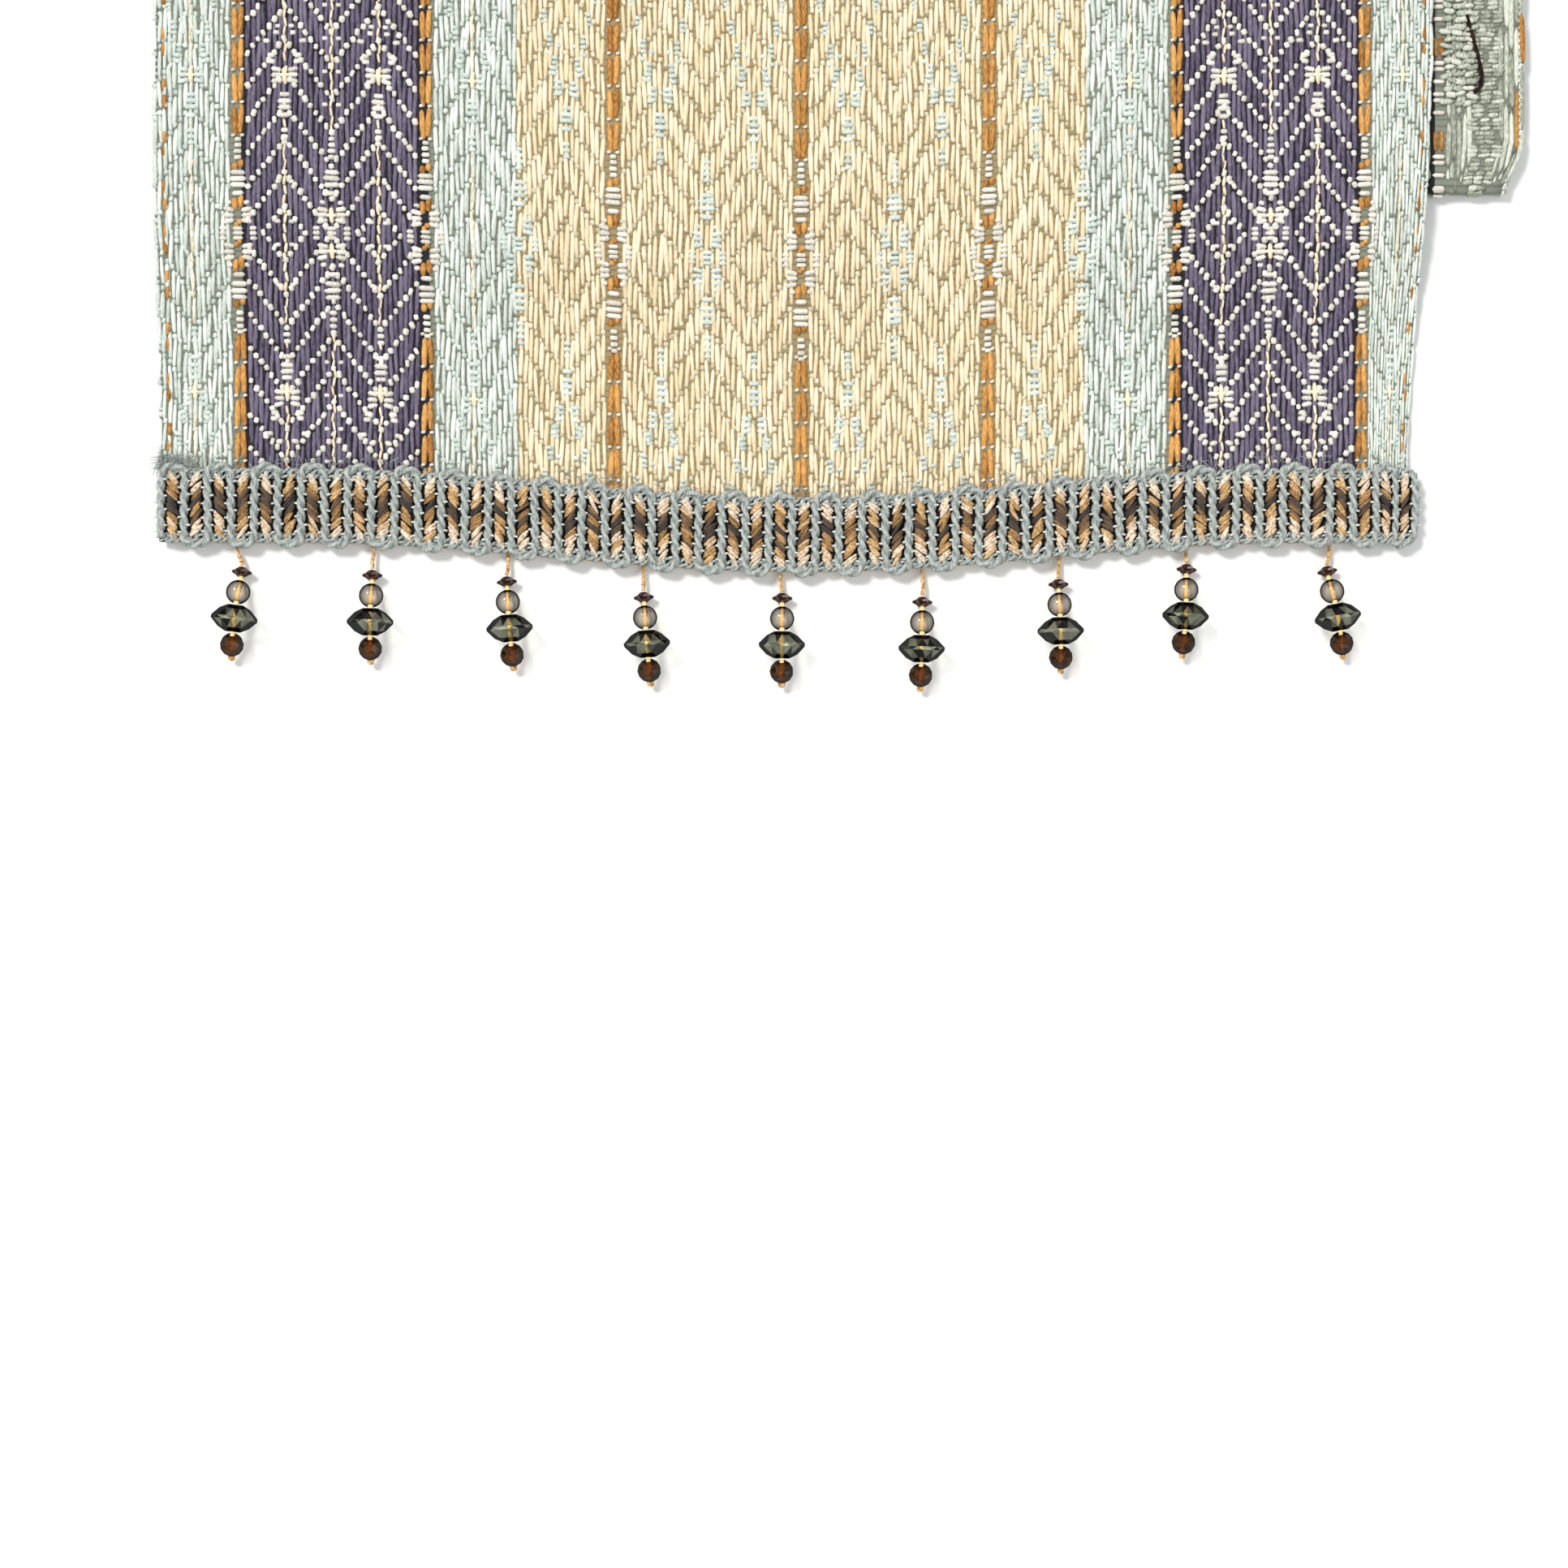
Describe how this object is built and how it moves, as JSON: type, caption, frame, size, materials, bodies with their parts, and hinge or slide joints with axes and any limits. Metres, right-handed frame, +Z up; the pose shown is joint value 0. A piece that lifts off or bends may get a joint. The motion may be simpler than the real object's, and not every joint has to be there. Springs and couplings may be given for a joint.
{
  "type": "table runner",
  "caption": "Striped woven table runner folded in three, with a scalloped gimp braid and hanging glass bead strands across both ends.",
  "frame": {"origin": "on the table under the middle of the whole folded runner", "axes": "+Y from the beaded front end towards the far end, +X to the right seen from above, +Z up"},
  "size_m": [0.3768, 0.7896, 0.013],
  "materials": {
    "woven_cloth": "warp-faced pointed twill in mint, purple, cream and orange cotton",
    "gimp_braid": "looped grey cord with gold and brown yarn between its ribs",
    "gold_thread": "twisted gold beading thread",
    "antique_metal": "dark antiqued cast spacer",
    "clear_smoky_glass": "clear smoky polished glass",
    "smoky_green_glass": "faceted grey-green glass",
    "smoky_brown_glass": "faceted smoky brown glass"
  },
  "bodies": {
    "runner": {"runner_cloth": "woven_cloth", "front_gimp": "gimp_braid", "front_running_thread": "gold_thread", "far_gimp": "gimp_braid", "far_bead_strands": "smoky_green_glass"},
    "loop_1": {"thread_loop_1": "gold_thread"},
    "hanging_1": {"core_thread_1": "gold_thread", "star_spacer_1": "antique_metal"},
    "round_1": {"round_bead_1": "clear_smoky_glass"},
    "rondelle_1": {"rondelle_1": "smoky_green_glass"},
    "end_1": {"end_bead_1": "smoky_brown_glass"},
    "loop_2": {"thread_loop_2": "gold_thread"},
    "hanging_2": {"core_thread_2": "gold_thread", "star_spacer_2": "antique_metal"},
    "round_2": {"round_bead_2": "clear_smoky_glass"},
    "rondelle_2": {"rondelle_2": "smoky_green_glass"},
    "end_2": {"end_bead_2": "smoky_brown_glass"},
    "loop_3": {"thread_loop_3": "gold_thread"},
    "hanging_3": {"core_thread_3": "gold_thread", "star_spacer_3": "antique_metal"},
    "round_3": {"round_bead_3": "clear_smoky_glass"},
    "rondelle_3": {"rondelle_3": "smoky_green_glass"},
    "end_3": {"end_bead_3": "smoky_brown_glass"},
    "loop_4": {"thread_loop_4": "gold_thread"},
    "hanging_4": {"core_thread_4": "gold_thread", "star_spacer_4": "antique_metal"},
    "round_4": {"round_bead_4": "clear_smoky_glass"},
    "rondelle_4": {"rondelle_4": "smoky_green_glass"},
    "end_4": {"end_bead_4": "smoky_brown_glass"},
    "loop_5": {"thread_loop_5": "gold_thread"},
    "hanging_5": {"core_thread_5": "gold_thread", "star_spacer_5": "antique_metal"},
    "round_5": {"round_bead_5": "clear_smoky_glass"},
    "rondelle_5": {"rondelle_5": "smoky_green_glass"},
    "end_5": {"end_bead_5": "smoky_brown_glass"},
    "loop_6": {"thread_loop_6": "gold_thread"},
    "hanging_6": {"core_thread_6": "gold_thread", "star_spacer_6": "antique_metal"},
    "round_6": {"round_bead_6": "clear_smoky_glass"},
    "rondelle_6": {"rondelle_6": "smoky_green_glass"},
    "end_6": {"end_bead_6": "smoky_brown_glass"},
    "loop_7": {"thread_loop_7": "gold_thread"},
    "hanging_7": {"core_thread_7": "gold_thread", "star_spacer_7": "antique_metal"},
    "round_7": {"round_bead_7": "clear_smoky_glass"},
    "rondelle_7": {"rondelle_7": "smoky_green_glass"},
    "end_7": {"end_bead_7": "smoky_brown_glass"},
    "loop_8": {"thread_loop_8": "gold_thread"},
    "hanging_8": {"core_thread_8": "gold_thread", "star_spacer_8": "antique_metal"},
    "round_8": {"round_bead_8": "clear_smoky_glass"},
    "rondelle_8": {"rondelle_8": "smoky_green_glass"},
    "end_8": {"end_bead_8": "smoky_brown_glass"},
    "loop_9": {"thread_loop_9": "gold_thread"},
    "hanging_9": {"core_thread_9": "gold_thread", "star_spacer_9": "antique_metal"},
    "round_9": {"round_bead_9": "clear_smoky_glass"},
    "rondelle_9": {"rondelle_9": "smoky_green_glass"},
    "end_9": {"end_bead_9": "smoky_brown_glass"}
  },
  "joints": [
    {"name": "lift_1", "type": "hinge", "parent": "runner", "child": "loop_1", "pos_m": [-0.1658, -0.35621, 0.0018], "axis": [-1, 0, 0], "range_deg": [0, 60]},
    {"name": "swing_1", "type": "hinge", "parent": "loop_1", "child": "hanging_1", "pos_m": [-0.16438, -0.35973, 0.00237], "axis": [0, 0, 1], "range_deg": [-25, 25]},
    {"name": "spin_round_1", "type": "hinge", "parent": "hanging_1", "child": "round_1", "pos_m": [-0.16528, -0.36706, 0.00493], "axis": [-0.1113, -0.9067, 0.4067], "continuous": true},
    {"name": "spin_rondelle_1", "type": "hinge", "parent": "hanging_1", "child": "rondelle_1", "pos_m": [-0.16617, -0.37433, 0.0065], "axis": [-0.1219, -0.9925, 0], "continuous": true},
    {"name": "spin_end_1", "type": "hinge", "parent": "hanging_1", "child": "end_1", "pos_m": [-0.16705, -0.38152, 0.00469], "axis": [-0.1076, -0.8764, -0.4695], "continuous": true},
    {"name": "lift_2", "type": "hinge", "parent": "runner", "child": "loop_2", "pos_m": [-0.1283, -0.35662, 0.0018], "axis": [-1, 0, 0], "range_deg": [0, 75]},
    {"name": "swing_2", "type": "hinge", "parent": "loop_2", "child": "hanging_2", "pos_m": [-0.12858, -0.36061, 0.00237], "axis": [0, 0, 1], "range_deg": [-25, 25]},
    {"name": "spin_round_2", "type": "hinge", "parent": "hanging_2", "child": "round_2", "pos_m": [-0.12871, -0.368, 0.00493], "axis": [-0.0159, -0.9134, 0.4067], "continuous": true},
    {"name": "spin_rondelle_2", "type": "hinge", "parent": "hanging_2", "child": "rondelle_2", "pos_m": [-0.12884, -0.37531, 0.0065], "axis": [-0.0175, -0.9998, 0], "continuous": true},
    {"name": "spin_end_2", "type": "hinge", "parent": "hanging_2", "child": "end_2", "pos_m": [-0.12896, -0.38256, 0.00469], "axis": [-0.0154, -0.8828, -0.4695], "continuous": true},
    {"name": "lift_3", "type": "hinge", "parent": "runner", "child": "loop_3", "pos_m": [-0.0912, -0.35915, 0.0018], "axis": [-1, 0, 0], "range_deg": [0, 55]},
    {"name": "swing_3", "type": "hinge", "parent": "loop_3", "child": "hanging_3", "pos_m": [-0.09166, -0.36242, 0.00237], "axis": [0, 0, 1], "range_deg": [-25, 25]},
    {"name": "spin_round_3", "type": "hinge", "parent": "hanging_3", "child": "round_3", "pos_m": [-0.09108, -0.36978, 0.00493], "axis": [0.0717, -0.9107, 0.4067], "continuous": true},
    {"name": "spin_rondelle_3", "type": "hinge", "parent": "hanging_3", "child": "rondelle_3", "pos_m": [-0.09051, -0.37707, 0.0065], "axis": [0.0785, -0.9969, 0], "continuous": true},
    {"name": "spin_end_3", "type": "hinge", "parent": "hanging_3", "child": "end_3", "pos_m": [-0.08994, -0.3843, 0.00469], "axis": [0.0693, -0.8802, -0.4695], "continuous": true},
    {"name": "lift_4", "type": "hinge", "parent": "runner", "child": "loop_4", "pos_m": [-0.0539, -0.3624, 0.0018], "axis": [-1, 0, 0], "range_deg": [0, 75]},
    {"name": "swing_4", "type": "hinge", "parent": "loop_4", "child": "hanging_4", "pos_m": [-0.0539, -0.3667, 0.00237], "axis": [0, 0, 1], "range_deg": [-25, 25]},
    {"name": "spin_round_4", "type": "hinge", "parent": "hanging_4", "child": "round_4", "pos_m": [-0.05332, -0.37407, 0.00493], "axis": [0.0717, -0.9107, 0.4067], "continuous": true},
    {"name": "spin_rondelle_4", "type": "hinge", "parent": "hanging_4", "child": "rondelle_4", "pos_m": [-0.05275, -0.38136, 0.0065], "axis": [0.0785, -0.9969, 0], "continuous": true},
    {"name": "spin_end_4", "type": "hinge", "parent": "hanging_4", "child": "end_4", "pos_m": [-0.05218, -0.38859, 0.00469], "axis": [0.0693, -0.8802, -0.4695], "continuous": true},
    {"name": "lift_5", "type": "hinge", "parent": "runner", "child": "loop_5", "pos_m": [-0.016, -0.36418, 0.0018], "axis": [-1, 0, 0], "range_deg": [0, 50]},
    {"name": "swing_5", "type": "hinge", "parent": "loop_5", "child": "hanging_5", "pos_m": [-0.01556, -0.36694, 0.00237], "axis": [0, 0, 1], "range_deg": [-25, 25]},
    {"name": "spin_round_5", "type": "hinge", "parent": "hanging_5", "child": "round_5", "pos_m": [-0.01563, -0.37433, 0.00493], "axis": [-0.008, -0.9135, 0.4067], "continuous": true},
    {"name": "spin_rondelle_5", "type": "hinge", "parent": "hanging_5", "child": "rondelle_5", "pos_m": [-0.01569, -0.38165, 0.0065], "axis": [-0.0087, -1, 0], "continuous": true},
    {"name": "spin_end_5", "type": "hinge", "parent": "hanging_5", "child": "end_5", "pos_m": [-0.01575, -0.3889, 0.00469], "axis": [-0.0077, -0.8829, -0.4695], "continuous": true},
    {"name": "lift_6", "type": "hinge", "parent": "runner", "child": "loop_6", "pos_m": [0.0231, -0.3631, 0.0018], "axis": [-1, 0, 0], "range_deg": [0, 90]},
    {"name": "swing_6", "type": "hinge", "parent": "loop_6", "child": "hanging_6", "pos_m": [0.0231, -0.368, 0.00237], "axis": [0, 0, 1], "range_deg": [-25, 25]},
    {"name": "spin_round_6", "type": "hinge", "parent": "hanging_6", "child": "round_6", "pos_m": [0.02291, -0.37539, 0.00493], "axis": [-0.0239, -0.9132, 0.4067], "continuous": true},
    {"name": "spin_rondelle_6", "type": "hinge", "parent": "hanging_6", "child": "rondelle_6", "pos_m": [0.02272, -0.3827, 0.0065], "axis": [-0.0262, -0.9997, 0], "continuous": true},
    {"name": "spin_end_6", "type": "hinge", "parent": "hanging_6", "child": "end_6", "pos_m": [0.02253, -0.38995, 0.00469], "axis": [-0.0231, -0.8826, -0.4695], "continuous": true},
    {"name": "lift_7", "type": "hinge", "parent": "runner", "child": "loop_7", "pos_m": [0.0608, -0.36001, 0.0018], "axis": [-1, 0, 0], "range_deg": [0, 55]},
    {"name": "swing_7", "type": "hinge", "parent": "loop_7", "child": "hanging_7", "pos_m": [0.06053, -0.3631, 0.00237], "axis": [0, 0, 1], "range_deg": [-25, 25]},
    {"name": "spin_round_7", "type": "hinge", "parent": "hanging_7", "child": "round_7", "pos_m": [0.06072, -0.37048, 0.00493], "axis": [0.0239, -0.9132, 0.4067], "continuous": true},
    {"name": "spin_rondelle_7", "type": "hinge", "parent": "hanging_7", "child": "rondelle_7", "pos_m": [0.06091, -0.3778, 0.0065], "axis": [0.0262, -0.9997, 0], "continuous": true},
    {"name": "spin_end_7", "type": "hinge", "parent": "hanging_7", "child": "end_7", "pos_m": [0.0611, -0.38504, 0.00469], "axis": [0.0231, -0.8826, -0.4695], "continuous": true},
    {"name": "lift_8", "type": "hinge", "parent": "runner", "child": "loop_8", "pos_m": [0.0959, -0.35721, 0.0018], "axis": [-1, 0, 0], "range_deg": [0, 45]},
    {"name": "swing_8", "type": "hinge", "parent": "loop_8", "child": "hanging_8", "pos_m": [0.09599, -0.359, 0.00237], "axis": [0, 0, 1], "range_deg": [-25, 25]},
    {"name": "spin_round_8", "type": "hinge", "parent": "hanging_8", "child": "round_8", "pos_m": [0.09561, -0.36638, 0.00493], "axis": [-0.0478, -0.9123, 0.4067], "continuous": true},
    {"name": "spin_rondelle_8", "type": "hinge", "parent": "hanging_8", "child": "rondelle_8", "pos_m": [0.09522, -0.37369, 0.0065], "axis": [-0.0523, -0.9986, 0], "continuous": true},
    {"name": "spin_end_8", "type": "hinge", "parent": "hanging_8", "child": "end_8", "pos_m": [0.09485, -0.38093, 0.00469], "axis": [-0.0462, -0.8817, -0.4695], "continuous": true},
    {"name": "lift_9", "type": "hinge", "parent": "runner", "child": "loop_9", "pos_m": [0.1354, -0.35621, 0.0018], "axis": [-1, 0, 0], "range_deg": [0, 55]},
    {"name": "swing_9", "type": "hinge", "parent": "loop_9", "child": "hanging_9", "pos_m": [0.13438, -0.35956, 0.00237], "axis": [0, 0, 1], "range_deg": [-25, 25]},
    {"name": "spin_round_9", "type": "hinge", "parent": "hanging_9", "child": "round_9", "pos_m": [0.13572, -0.36682, 0.00493], "axis": [0.1665, -0.8982, 0.4067], "continuous": true},
    {"name": "spin_rondelle_9", "type": "hinge", "parent": "hanging_9", "child": "rondelle_9", "pos_m": [0.13706, -0.37401, 0.0065], "axis": [0.1822, -0.9833, 0], "continuous": true},
    {"name": "spin_end_9", "type": "hinge", "parent": "hanging_9", "child": "end_9", "pos_m": [0.13838, -0.38114, 0.00469], "axis": [0.1609, -0.8682, -0.4695], "continuous": true}
  ]
}
